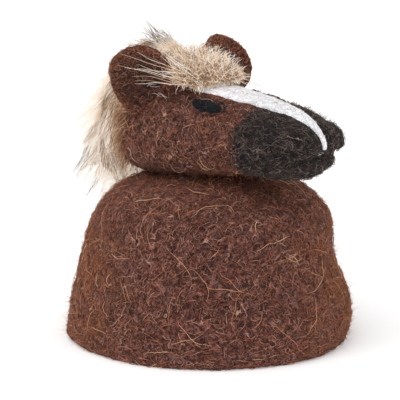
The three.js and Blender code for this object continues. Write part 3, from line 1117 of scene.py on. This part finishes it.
# %% The finish that joins both wools
def face_finish(name, glow):
    """Brown wool that runs into dark wool in front and into more orange wool at the back.

    It has painted shade in the hollow before the right ear and in the crease under the jaw.
    """
    finish, tree, place = new_finish(name)
    brown, height = felt_surface(place, HEAD_WOOL)
    dark, dark_height = felt_surface(place * ALONG, DARK_WOOL)
    amber, _ = felt_surface(place, AMBER_WOOL)
    brown = mixed(back_share(tree, place) * 0.8, brown, amber)
    # painted shade in the hollow before the right ear
    hollow = near(place, HOLLOW, 9.0, 4.0) * 0.75
    brown = mixed(hollow, brown, BROWN_WOOL["pit"])
    ragged = (noise(place, 3.0, detail=3.0) - 0.5) * 6.0 + (noise(place, 0.9) - 0.5) * 5.0
    from_middle = (place.axis("Z") - 60.0) / 10.0
    ahead = place.axis("Y") * -1.0 + ragged - from_middle * from_middle * 1.5
    edge = -colour_edge / MM - 0.5
    muzzle_share = ahead.step(edge - BLUR, edge + BLUR)
    colour = shaded_in_creases(tree, mixed(muzzle_share, brown, dark))
    height = height + (dark_height - height) * muzzle_share
    end_finish(tree, colour, height, depth=0.35, sheen=0.25, sheen_tint=glow)
    return finish

# %% The shade of the crease, and the finish on both halves
CREASE = 6.0  # how far in millimetres the shade of the crease between head and cap reaches
store_closeness(cap, head, CREASE)
for piece, glow in ((head, BROWN_GLOW), (muzzle, DARK_GLOW)):
    store_closeness(piece, cap, CREASE)
    piece.data.materials.clear()
    piece.data.materials.append(face_finish(f"{piece.name}_wool", glow))

DARK_FIBRES = [rgb(6, 4, 6), rgb(12, 8, 10), rgb(36, 29, 30)]
DARK_FIBRES += [rgb(74, 61, 58), rgb(106, 90, 83), rgb(146, 126, 113)]
dark_fibres = fibre_finish("dark_fibres", DARK_FIBRES, DARK_GLOW)

# %% [markdown]
# ## Blaze and eyes
#
# The blaze is fine white wool, needled flat until it is nearly smooth. The eyes are the same with
# black wool. Both keep the outline of their solids, and their own fibres cross that outline.

# %% White wool and black wool
WHITE_WOOL = {
    "pit": rgb(196, 194, 198),
    "deep": rgb(236, 234, 237),
    "cool": rgb(236, 237, 242),
    "middle": rgb(246, 245, 247),
    "red": rgb(246, 244, 243),
    "light": rgb(248, 248, 248),
    "pale": rgb(252, 252, 251),
}
BLACK_WOOL = {
    "pit": rgb(6, 6, 7),
    "deep": rgb(13, 13, 15),
    "cool": rgb(20, 23, 28),
    "middle": rgb(22, 22, 25),
    "red": rgb(24, 22, 24),
    "light": rgb(40, 43, 48),
    "pale": rgb(58, 60, 64),
}
WHITE_GLOW = (1.0, 1.0, 1.0, 1.0)
BLUE_GLOW = (*rgb(90, 96, 110), 1.0)
# the white felt has a painted glow, a little emission that makes it whiter
white_felt = felt("white_wool_felt", WHITE_WOOL, 0.1, WHITE_GLOW, depth=0.12, painted_glow=0.24)
black_felt = felt("black_wool_felt", BLACK_WOOL, 0.1, BLUE_GLOW, depth=0.3)
WHITE_FIBRES = [rgb(232, 232, 234), rgb(248, 247, 246), rgb(254, 254, 254)]
BLACK_FIBRES = [rgb(8, 8, 9), rgb(22, 23, 26), rgb(48, 52, 58)]
white_fibres = fibre_finish("white_fibres", WHITE_FIBRES, WHITE_GLOW)
black_fibres = fibre_finish("black_fibres", BLACK_FIBRES, BLUE_GLOW)

# %% The blaze and both eyes
blaze = melted("felt_blaze", {"blaze": 0.1}, voxel=0.32, rounds=4)
keep_largest(blaze)
run_tree(
    blaze, LUMPY, swell=0.08, swell_size=4.0, lump=0.05, lump_size=1.0, finish=white_felt
)
blaze_fibres = grown_on(
    blaze, "blaze_fibres", LAID_FIBRES, density=0.6, shortest=1.0, longest=4.0, bend=1.5, wave=0.4,
    wave_size=1.5, thickness=0.10, lift=0.25, points=6, seed=23, finish=white_fibres
)
eyes = {}
for side, seed in (("right", 31), ("left", 32)):
    eye = melted(f"felt_eye_{side}", {f"eye_{side}": 0.15}, voxel=0.25, rounds=2)
    run_tree(eye, LUMPY, swell=0.08, swell_size=2.5, lump=0.1, lump_size=0.8, finish=black_felt)
    fibres = grown_on(
        eye, f"eye_fibres_{side}", LAID_FIBRES, density=2.4, shortest=0.8, longest=3.4, bend=0.8,
        stray=0.25, wave=0.3, wave_size=1.2, thickness=0.13, lift=0.3, points=6, seed=seed,
        finish=black_fibres
    )
    eyes[side] = [eye, fibres]

# %% [markdown]
# ## Ears
#
# Each ear is a round of brown felt, cupped, and needled to the head all round its foot. Balls of
# wool along the line where the ear meets the head become that joint, when the remesh melts them
# in. The rim has painted rim light, a lighter, more orange brown, and the hollow of the right ear
# has painted shade.

# %% Where an ear is joined, and where its rim is
def foot_of(piece, ground, reach):
    """Every fifth of the points of a piece that lie within reach of another piece."""
    surface = surface_of(ground)
    points = [v.co.copy() for v in piece.data.vertices]
    return [point for point in points if surface.find_nearest(point, reach)[0] is not None][::5]


def store_rim(ear, solid):
    """Stores how near each point is to the ear's edge, from 0 in its middle to 1 on the edge."""
    low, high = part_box(solid)
    middle, size = (low + high) / 2, high - low
    rim = ear.data.attributes.new("rim", "FLOAT", "POINT")
    for vertex, value in zip(ear.data.vertices, rim.data):
        out = vertex.co - middle
        # the ear stands askew, so its edge meets the box's sides in X and Y at once
        across = hypot(out.x / size.x, out.y / size.y) * 2 / sqrt(2)
        value.value = hypot(across, out.z * 2 / size.z)

# %% Finishes of the ears
# The right ear's hollow is darker by painted shade.
HOLLOW_SHADE_WOOL = {
    "pit": rgb(22, 10, 12),
    "deep": rgb(44, 25, 27),
    "cool": rgb(54, 38, 42),
    "middle": rgb(74, 46, 43),
    "red": rgb(92, 53, 43),
    "light": rgb(124, 86, 76),
    "pale": rgb(176, 134, 116),
}
# The rim's paler, more orange wool is painted rim light.
RIM_LIGHT_WOOL = {
    **BROWN_WOOL,
    "middle": rgb(132, 80, 58),
    "cool": rgb(112, 72, 56),
    "red": rgb(146, 82, 52),
}
# The right ear's fibres are darker by the same painted shade.
SHADED_EAR_FIBRES = [rgb(24, 11, 13), rgb(52, 31, 31), rgb(82, 52, 47)]
SHADED_EAR_FIBRES += [rgb(108, 72, 62), rgb(146, 102, 86)]


def rim_share(tree, _):
    """How near the rim of an ear a place is, from 0 in the hollow to 1, from the ear's mesh."""
    return attribute(tree, "rim").step(0.5, 0.8)

# %% Fibres of the ears, and the wool of their hollows
# Fibres on an ear's rim take amber there, painted rim light.
AMBER_RIM_LIGHT = {"patch": rim_share, "patch_colour": AMBER}
deep_fibres = fibre_finish("deep_fibres", SHADED_EAR_FIBRES, BROWN_GLOW, **AMBER_RIM_LIGHT)
red_fibres = fibre_finish("red_fibres", BROWN_FIBRES, BROWN_GLOW, **AMBER_RIM_LIGHT)
RED_WOOL = {
    **BROWN_WOOL,
    "deep": rgb(96, 50, 38),
    "middle": rgb(136, 75, 54),
    "cool": rgb(92, 56, 50),
}
EAR_LOOKS = {
    "right": {"inner": HOLLOW_SHADE_WOOL, "fibres": deep_fibres, "seed": 41},
    "left": {"inner": RED_WOOL, "fibres": red_fibres, "seed": 44},
}


def ear_finish(name, wool):
    """Wool of an ear's hollow that turns to painted rim light, a paler, more orange wool, at its
    rim.
    """
    finish, tree, place = new_finish(name)
    inner, height = felt_surface(place, wool)
    outer, _ = felt_surface(place, RIM_LIGHT_WOOL)
    rim = attribute(tree, "rim")
    ragged = (noise(place, 2.0, detail=2.0) - 0.5) * 0.3
    colour = mixed((rim + ragged).step(0.55, 0.85), inner, outer)
    end_finish(tree, colour, height, depth=0.4, sheen=0.35, sheen_tint=BROWN_GLOW)
    return finish

# %% Both ears
ears = {}
for side, looks in EAR_LOOKS.items():
    solid = f"ear_{side}"
    seed = looks["seed"]
    ear_wool = ear_finish(f"ear_wool_{side}", looks["inner"])
    bare = melted("bare_ear", {solid: 0.1}, voxel=0.4, rounds=4)
    foot = foot_of(bare, head, 0.9 * MM)
    print(f"{solid}: {len(foot)} balls of wool join it to the head")
    bpy.data.objects.remove(bare)
    ear = melted(f"felt_{solid}", {solid: 0.1}, voxel=0.4, rounds=8, wads=foot, wad_size=1.5)
    keep_largest(ear)
    run_tree(ear, LUMPY, swell=0.2, swell_size=5.0, lump=0.3, lump_size=1.4, finish=ear_wool)
    store_rim(ear, solid)
    fibres = grown_on(
        ear, f"ear_fibres_{side}", LAID_FIBRES, density=0.45, shortest=1.0, longest=4.5, bend=2.0,
        wave=0.7, wave_size=1.4, thickness=0.13, lift=0.45, points=6, seed=seed,
        finish=looks["fibres"]
    )
    haze = grown_on(
        ear, f"ear_haze_{side}", HAZE, density=0.7, shortest=0.4, longest=2.0, lean=0.9, wave=0.5,
        thickness=0.09, points=3, seed=seed + 1, finish=amber_fibres
    )
    ears[side] = [ear, fibres, haze]

# %% Fibres of the face, between the blaze, the eyes and the ears
head_fibre = fibre_finish(
    "head_fibre", BROWN_FIBRES, BROWN_GLOW, sheen=0.3, patch=back_share, patch_colour=AMBER
)
covers = [blaze, eyes["right"][0], eyes["left"][0], ears["right"][0], ears["left"][0]]
head_ground = bare_ground(head, *covers)
muzzle_ground = bare_ground(muzzle, blaze)
head_fibres = grown_on(
    head_ground, "head_fibres", LAID_FIBRES, density=0.36, shortest=1.5, longest=5.0, bend=1.7,
    wave=0.65, wave_size=1.8, thickness=0.12, lift=0.35, points=6, seed=13, finish=head_fibre
)
head_strays = grown_on(
    head_ground, "head_strays", LAID_FIBRES, density=0.014, shortest=3.5, longest=10.0, bend=1.6,
    wave=1.2, wave_size=3.2, thickness=0.13, lift=0.8, points=12, seed=17, finish=pale_fibres
)
head_haze = grown_on(
    head_ground, "head_haze", HAZE, density=0.25, shortest=0.5, longest=2.0, lean=0.9, wave=0.5,
    thickness=0.07, points=3, seed=15, finish=amber_fibres
)
muzzle_fibres = grown_on(
    muzzle_ground, "muzzle_fibres", LAID_FIBRES, density=1.3, shortest=1.0, longest=3.2, bend=1.6,
    stray=0.35, wave=0.7, wave_size=1.3, thickness=0.12, lift=0.45, points=5, seed=14,
    finish=dark_fibres
)
muzzle_haze = grown_on(
    muzzle_ground, "muzzle_haze", HAZE, density=0.5, shortest=0.5, longest=1.6, lean=0.9, wave=0.5,
    thickness=0.06, points=3, seed=16, finish=dark_fibres
)

# %% Strands across the edges of the wools
# Strands of each wool are worked across the line where the two meet.
FRONT = -colour_edge / MM
ACROSS = {
    "shortest": 1.5, "longest": 4.5, "bend": 1.6, "stray": 0.3, "wave": 0.8, "wave_size": 1.6,
    "thickness": 0.14, "lift": 0.5, "points": 6
}


def before_edge(place):
    """Picks the head's front, where it meets the muzzle."""
    return -place.y > FRONT - 2.2


def behind_edge(place):
    """Picks the muzzle's back, where it meets the head."""
    return -place.y < FRONT + 1.8


def left_of_nose(place):
    """Picks the muzzle's upper left side."""
    return place.x > 2.0 and place.z > 64.0


dark_across = grown_on_patch(
    patch_of(head_ground, "head_front", before_edge), "dark_across", LAID_FIBRES,
    density=0.8, seed=18, finish=dark_fibres, **ACROSS
)
brown_across = grown_on_patch(
    patch_of(muzzle_ground, "muzzle_back", behind_edge), "brown_across", LAID_FIBRES,
    density=0.5, seed=19, finish=brown_fibres, **ACROSS
)

# %% Coarse pale ends beside the nose, a curl below the blaze and a fleck in the cap
GREY_FIBRES = [rgb(40, 31, 30), rgb(86, 70, 64), rgb(150, 130, 116)]
far_wool = fibre_finish("far_wool", GREY_FIBRES, DARK_GLOW)
far_haze = grown_on_patch(
    patch_of(muzzle_ground, "far_side", left_of_nose), "far_haze", HAZE, density=1.6, shortest=0.5,
    longest=1.5, lean=1.2, wave=0.9, thickness=0.12, points=4, seed=20, finish=far_wool
)
BLAZE_END = ball(-1.0, -44.0, 58.3, 2.2)
blaze_curl = grown_on_patch(
    patch_of(muzzle, "blaze_end", BLAZE_END), "blaze_curl", LAID_FIBRES, density=0.5, shortest=2.0,
    longest=5.0, bend=1.4, stray=0.12, wave=0.4, wave_size=3.0, thickness=0.12, lift=0.6, points=9,
    seed=22, finish=white_fibres
)
FLECK = ball(-30.5, 22.5, 22.5, 2.0)
cap_fleck = grown_on_patch(
    patch_of(cap, "fleck", FLECK), "cap_fleck", HAZE, density=1.0, shortest=0.8,
    longest=2.2, lean=1.2, wave=0.9, thickness=0.16, points=5, seed=24, finish=dark_fibres
)

# %% Black fibres that blur the outline of each eye
for side, (eye, *_) in eyes.items():
    edge = patch_of(head_ground, "eye_edge", close_to(eye, 1.5))
    blur = grown_on_patch(
        edge, f"eye_blur_{side}", LAID_FIBRES, density=4.0, shortest=1.0, longest=3.0, bend=1.2,
        stray=0.25, wave=0.5, wave_size=1.2, thickness=0.15, lift=0.6, points=5, seed=33,
        finish=black_fibres
    )
    eyes[side].append(blur)
for ground in (head_ground, muzzle_ground):
    bpy.data.objects.remove(ground)

# %% [markdown]
# ## Mane and forelock
#
# The pile of each is dense underwool with long hairs over it. The underwool keeps the form of the
# frame's solid, drawn in a little, and its skin holds the comb: out and back over the crest, and
# down the nape. The forelock has a second growth of hairs that lie across the first.

# %% Underwool that holds the comb of its hairs
def fur_pile(name, node, shrink, voxel, comb_at, finish, lump):
    """The underwool of a piece of fur; comb_at gives the hairs' direction at a point."""
    pile = melted(name, {node: -shrink}, voxel=voxel, rounds=4)
    keep_largest(pile)
    lumps = {"swell": lump, "swell_size": 5.0, "lump": lump * 0.7, "lump_size": 1.6}
    run_tree(pile, LUMPY, finish=finish, **lumps)
    comb = pile.data.attributes.new("comb", "FLOAT_VECTOR", "POINT")
    for vertex, value in zip(pile.data.vertices, comb.data):
        value.vector = comb_at(vertex.co / MM, vertex.normal)
    return pile

# %% The comb of each pile
def mane_comb(place, normal):
    """Up and back on the crest, close to the skin behind the ears, and looser down the nape."""
    back = Vector((0, place.y - 8.0, place.z - 60.0)).normalized()
    flow = Vector((0, back.z, -back.y))
    flow = (flow - normal * flow.dot(normal)).normalized()
    nape = rise(place.z, 76.0, 62.0)
    way = flow + normal * (0.25 + 0.95 * nape)
    way.x += 0.01 * place.x
    return way.normalized() * (0.45 + 0.4 * nape)


def crest_comb(place, normal):
    """Back and a little up, in one tuft between the ears."""
    return Vector((-0.12, 0.9, 0.36)) + normal * 0.08


def forelock_comb(place, normal):
    """Out from the poll, over the brow, and shorter at the foot and over the left ear."""
    out = (place - Vector((0, 14, 66))).normalized()
    way = (out * 0.6 + normal * 0.8 + Vector((-0.15, 0, 0.3))).normalized()
    by_ear = rise(place.x, 3.0, 9.0) * rise(place.y, -8.0, -2.0)
    return way * (0.5 + 0.5 * rise(place.z, 72.0, 76.5)) * (1.0 - 0.65 * by_ear)


def tangle_comb(place, normal):
    """Out, and across the forelock to the right ear."""
    return normal * 0.6 + Vector((-0.3, 0.3, 0.25))

# %% Finishes of the fur
UNDERWOOL = {
    "pit": rgb(150, 116, 88),
    "deep": rgb(186, 154, 124),
    "cool": rgb(200, 176, 152),
    "middle": rgb(214, 186, 156),
    "red": rgb(216, 180, 144),
    "light": rgb(236, 214, 190),
    "pale": rgb(248, 236, 220),
}
underwool = felt("cream_underwool", UNDERWOOL, 0.15, (*rgb(230, 210, 190), 1.0), depth=0.5)
CREAM = [rgb(206, 184, 158), rgb(232, 217, 198), rgb(248, 239, 228)]
CREAM += [rgb(253, 250, 245), rgb(255, 255, 253)]
# the hairs' darker root colour is painted shade, and their glow painted light
mane_hair = hair_finish("mane_hair", rgb(196, 168, 136), CREAM, rgb(100, 76, 54), glow=0.33)
TAN = [rgb(120, 90, 68), rgb(220, 192, 164), rgb(248, 228, 206)]
TAN += [rgb(254, 246, 232), rgb(255, 253, 250)]
forelock_hair = hair_finish("forelock_hair", rgb(184, 148, 116), TAN, rgb(96, 74, 58), glow=0.26)

# %% The mane
mane_pile = fur_pile("mane_underwool", "mane", 3.0, 0.8, mane_comb, underwool, 0.8)
mane_hairs = grown_on(
    mane_pile, "mane_hairs", FUR, density=1.35, locks=0.12, shortest=6.0, longest=17.0, spread=0.4,
    lock=0.85, droop=0.35, wave=1.6, wave_size=9.0, frizz=0.9, thickness=0.13, dark=0.25, points=6,
    seed=51, finish=mane_hair
)

# %% The crest, one tuft between the ears
def on_crest(place):
    """Picks the top of the mane, between the ears."""
    return 8.5 < place.y < 16.5 and place.z > 76.0


crest_hairs = grown_on_patch(
    patch_of(mane_pile, "crest", on_crest, crest_comb), "crest_hairs", FUR, density=4.0, locks=0.35,
    shortest=8.0, longest=16.5, spread=0.36, lock=0.6, droop=0.1, wave=1.2, wave_size=7.0,
    frizz=0.7, thickness=0.14, dark=0.9, points=7, seed=54, finish=mane_hair
)

# %% The forelock
forelock_pile = fur_pile("forelock_underwool", "forelock", 1.2, 0.5, forelock_comb, underwool, 0.5)
forelock_hairs = grown_on(
    forelock_pile, "forelock_hairs", FUR, density=2.3, locks=0.45, shortest=2.5, longest=6.5,
    spread=0.9, lock=0.4, droop=0.1, wave=1.2, wave_size=3.0, frizz=1.3, thickness=0.16, dark=0.08,
    points=6, seed=61, finish=forelock_hair
)

# %% Hairs that lie across the forelock
def on_forelock(place):
    """Picks the top of the forelock, clear of both ears."""
    return place.z > 73.0 and -7.0 < place.x < 2.5


forelock_tangle = grown_on_patch(
    patch_of(forelock_pile, "forelock_skin", on_forelock, tangle_comb), "forelock_tangle", FUR,
    density=0.9, locks=0.5, shortest=4.0, longest=8.5, spread=0.9, droop=0.1, wave=3.0,
    wave_size=5.0, frizz=2.4, thickness=0.16, dark=0.1, points=8, seed=63, finish=forelock_hair
)

# %% [markdown]
# ## Loose hairs and curls
#
# A few long pale hairs of the forelock have worked loose and lie across the right ear. Shorter
# hairs of the mane are worked into the back of the head, which hides where the fur begins. White
# curls of wool show at the foot of the ear and in the crease between head and cap.

# %% Whiskers
# Where each group of whiskers grows, which way, and how long the longest is.
WHISKERS = {
    "ear_whiskers": (ball(-9.5, -5.0, 74.0, 4.0), (-0.8, 0.42, 0.32), 26.0),
    "brow_whiskers": (ball(7.0, -7.0, 73.0, 3.5), (0.75, -0.6, -0.2), 8.0),
}
whiskers = []
for name, (ground, way, longest) in WHISKERS.items():
    patch = patch_of(forelock_pile, "patch", ground, lambda *_, way=way: Vector(way))
    whiskers.append(grown_on_patch(
        patch, name, FUR, density=0.4, locks=0.1, shortest=longest * 0.45, longest=longest,
        spread=0.3, wave=0.8, wave_size=9.0, frizz=0.6, thickness=0.17, points=12, seed=72,
        finish=forelock_hair
    ))

# %% Wisps of the mane
mane_wisps = grown_on(
    mane_pile, "mane_wisps", FUR, density=0.035, locks=0.1, shortest=14.0, longest=25.0, spread=0.6,
    droop=0.15, wave=1.2, wave_size=9.0, frizz=0.8, thickness=0.1, dark=0.5, points=9, seed=74,
    finish=mane_hair
)

# %% Hairs worked into the nape
RUST = [rgb(116, 72, 50), rgb(154, 106, 74), rgb(184, 142, 106)]
RUST += [rgb(206, 172, 138), rgb(232, 212, 186)]
# the hairs' darker root colour is painted shade, and their glow painted light
nape_hair = hair_finish("nape_hair", rgb(130, 84, 60), RUST, rgb(96, 74, 58), glow=0.1)


def nape_comb(place, normal):
    """Back and down over the side of the head."""
    flow = Vector((0, 0.8, -0.7))
    return (flow - normal * flow.dot(normal) * 0.9 + normal * 0.35).normalized()


def on_nape(place):
    """Picks the back of the head beside the mane."""
    return place.y > 11 + abs(place.z - 60) * 0.15 and place.z > 49


nape_hairs = grown_on_patch(
    patch_of(head, "nape_patch", on_nape, nape_comb), "nape_hairs", FUR, density=1.1, locks=0.15,
    shortest=2.5, longest=10.0, spread=0.5, lock=0.3, droop=0.2, wave=1.4, wave_size=5.0, frizz=1.0,
    thickness=0.13, points=5, seed=81, finish=nape_hair
)

# %% White curls
CURLS = [rgb(236, 214, 202), rgb(250, 236, 226), rgb(255, 250, 245)]
white_curls = fibre_finish("white_curls", CURLS, WHITE_GLOW)
EAR_FOOT = ball(-16.0, 4.1, 71.6, 4.2)
ear_curls = [
    grown_on_patch(
        patch_of(ground, "ear_curl_patch", EAR_FOOT), f"curls_on_{ground.name}", LAID_FIBRES,
        density=0.14, shortest=3.0, longest=7.0, bend=0.9, stray=0.12, wave=0.5, wave_size=2.8,
        thickness=0.13, lift=0.9, points=10, seed=91, finish=white_curls
    )
    for ground in (head, ears["right"][0])
]
CREASE_BELOW_CHEEK = ball(-12.0, -3.5, 48.3, 5.0)
crease_curls = grown_on_patch(
    patch_of(cap, "crease_patch", CREASE_BELOW_CHEEK), "crease_curls", LAID_FIBRES, density=0.10,
    shortest=1.0, longest=2.6, bend=1.2, wave=0.5, wave_size=2.2, thickness=0.12, lift=0.8,
    points=8, seed=92, finish=white_curls
)

# %% [markdown]
# ## Joining the pieces to the frame
#
# Every piece rides on the cosy's one body. The felt pieces stand for the frame's soft solids,
# which are hidden. The cap, the ears and the blaze are sheets of felt; the area of each before it
# was fulled to its form is printed, and fibres are put on the body with the piece they grew from.

# %% Rides and replaced solids
def put_on_body(slot, made, solid):
    """Puts pieces on the cosy's body and hides the frame's solid that they replace; slot is only
    printed.
    """
    for piece in made:
        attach(piece, "root")
    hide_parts(solid)
    print(f"{solid}: {len(made)} pieces in {slot}")


cap_loose = [cap_fibres, cap_strays, cap_haze, cap_fleck]
head_loose = [head_fibres, head_strays, head_haze, brown_across, *ear_curls, crease_curls]
muzzle_loose = [muzzle_fibres, muzzle_haze, dark_across, far_haze]
blaze_loose = [blaze_fibres, blaze_curl]
mane_loose = [mane_hairs, mane_wisps, crest_hairs, nape_hairs]
forelock_loose = [forelock_hairs, forelock_tangle, *whiskers]
put_on_body("wool_brown", [cap, *cap_loose], "cap")
put_on_body("wool_brown", [head, *head_loose], "head")
put_on_body("wool_dark", [muzzle, *muzzle_loose], "muzzle")
put_on_body("wool_white", [blaze, *blaze_loose], "blaze")
put_on_body("fur_cream", [mane_pile, *mane_loose], "mane")
put_on_body("fur_cream", [forelock_pile, *forelock_loose], "forelock")
for side in ("right", "left"):
    put_on_body("wool_black", eyes[side], f"eye_{side}")
    put_on_body("wool_brown", ears[side], f"ear_{side}")

# %% The size that each sheet was cut to
CAP_DISC = 135 * MM  # the round that the cap was fulled from
EAR_DISC = 21 * MM
BLAZE_STRIP = (12.8 * MM, 50 * MM)
ROUND = pi / 4  # the area of a round, as a share of the square about it
TAPER = 0.7  # the area of the blaze, as a share of its strip
cap_area = ROUND * CAP_DISC**2
ear_area = ROUND * EAR_DISC**2
blaze_area = TAPER * BLAZE_STRIP[0] * BLAZE_STRIP[1]
flat_areas = [round(area / MM**2) for area in (cap_area, ear_area, blaze_area)]
print("square millimetres of felt in the cap, an ear and the blaze:", flat_areas)

unseen = {*nodes, floor.name}
shown = [piece for piece in bpy.data.objects if piece.type == "MESH" and piece.name not in unseen]
triangles = sum(len(face.vertices) - 2 for piece in shown for face in piece.data.polygons)
print(f"{len(shown)} pieces with {triangles} triangles in all")
